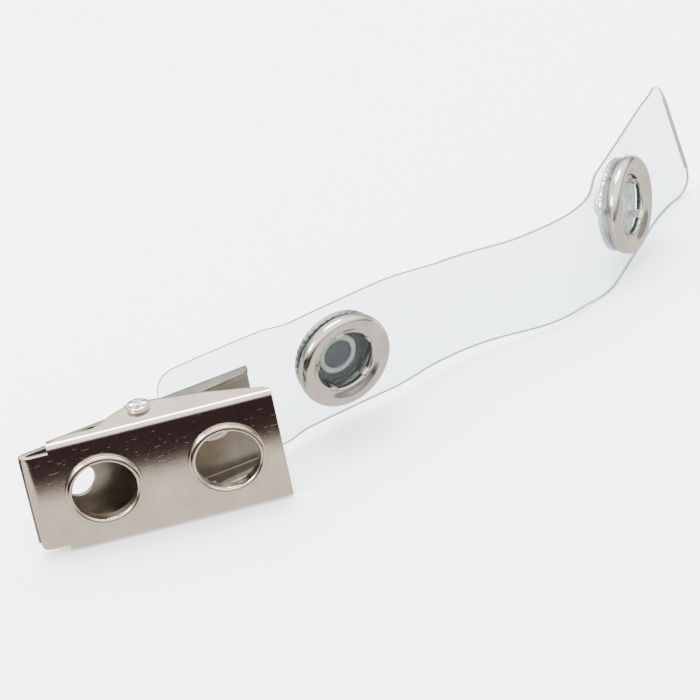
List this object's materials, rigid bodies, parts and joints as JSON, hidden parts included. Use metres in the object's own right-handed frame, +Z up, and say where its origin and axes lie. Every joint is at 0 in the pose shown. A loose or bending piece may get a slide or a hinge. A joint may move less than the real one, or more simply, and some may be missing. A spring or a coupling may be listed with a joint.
{
  "type": "badge strap clip",
  "caption": "Sprung metal badge clip with a clear vinyl strap that folds back and snaps shut to hold a card.",
  "frame": {"origin": "middle of the base of the whole object as it lies on its long edge", "axes": "+X from the clip's lip along the strap, +Y to the back, which is the side that the strap folds to, +Z up along the jaw pin"},
  "size_m": [0.0792, 0.0276, 0.014],
  "materials": {
    "nickel_plate": "bright nickel plate with fine rolling marks",
    "bright_nickel": "polished nickel plate",
    "spring_steel": "bare spring wire",
    "clear_vinyl": "clear flexible vinyl"
  },
  "bodies": {
    "clip": {"lower_jaw": "nickel_plate", "torsion_spring": "spring_steel", "strap_rivet": "bright_nickel"},
    "lever": {"upper_jaw": "nickel_plate", "hinge_pin": "bright_nickel"},
    "strap_base": {"strap_near": "clear_vinyl", "near_prong_ring": "bright_nickel", "snap_socket": "bright_nickel", "socket_spring": "spring_steel"},
    "fold_1": {"strap_link_1": "clear_vinyl"},
    "fold_2": {"strap_link_2": "clear_vinyl"},
    "fold_3": {"strap_link_3": "clear_vinyl"},
    "fold_4": {"strap_link_4": "clear_vinyl"},
    "strap_end": {"strap_far": "clear_vinyl", "far_prong_ring": "bright_nickel", "snap_stud": "bright_nickel"}
  },
  "joints": [
    {"name": "jaw_hinge", "type": "hinge", "parent": "clip", "child": "lever", "pos_m": [-0.02754, -0.00805, 0.00608], "axis": [0, 0, 1], "range_deg": [0, 22], "stiffness_Nm_per_rad": 0.02, "springref_deg": -34.38, "deforming": ["torsion_spring"]},
    {"name": "strap_swivel", "type": "hinge", "parent": "clip", "child": "strap_base", "pos_m": [-0.02054, -0.00613, 0.00726], "axis": [0, 1, 0], "range_deg": [-110, 110]},
    {"name": "strap_crease", "type": "hinge", "parent": "strap_base", "child": "fold_1", "pos_m": [-0.00028, -0.00491, 0.00755], "axis": [0.0788, -0.1139, 0.9904], "range_deg": [-43.9, 0]},
    {"name": "strap_fold", "type": "hinge", "parent": "fold_1", "child": "fold_2", "pos_m": [0.00571, -0.00364, 0.00744], "axis": [0.0259, -0.2501, 0.9679], "range_deg": [0, 118.22]},
    {"name": "strap_bend_3", "type": "hinge", "parent": "fold_2", "child": "fold_3", "pos_m": [0.01223, -0.00362, 0.00707], "axis": [0.0854, -0.2846, 0.9548], "range_deg": [0, 49.3]},
    {"name": "strap_bend_4", "type": "hinge", "parent": "fold_3", "child": "fold_4", "pos_m": [0.01954, -0.00273, 0.00669], "axis": [0.2143, -0.1324, 0.9678], "range_deg": [0, 87.8]},
    {"name": "strap_tail", "type": "hinge", "parent": "fold_4", "child": "strap_end", "pos_m": [0.02456, -0.00001, 0.00645], "axis": [-0.0012, -0.027, 0.9996], "range_deg": [-66.6, 0]}
  ],
  "couplings": [
    {"joint": "strap_crease", "follows": "strap_fold", "ratio": -0.37064},
    {"joint": "strap_bend_3", "follows": "strap_fold", "ratio": 0.41583},
    {"joint": "strap_bend_4", "follows": "strap_fold", "ratio": 0.74191},
    {"joint": "strap_tail", "follows": "strap_fold", "ratio": -0.56227}
  ]
}
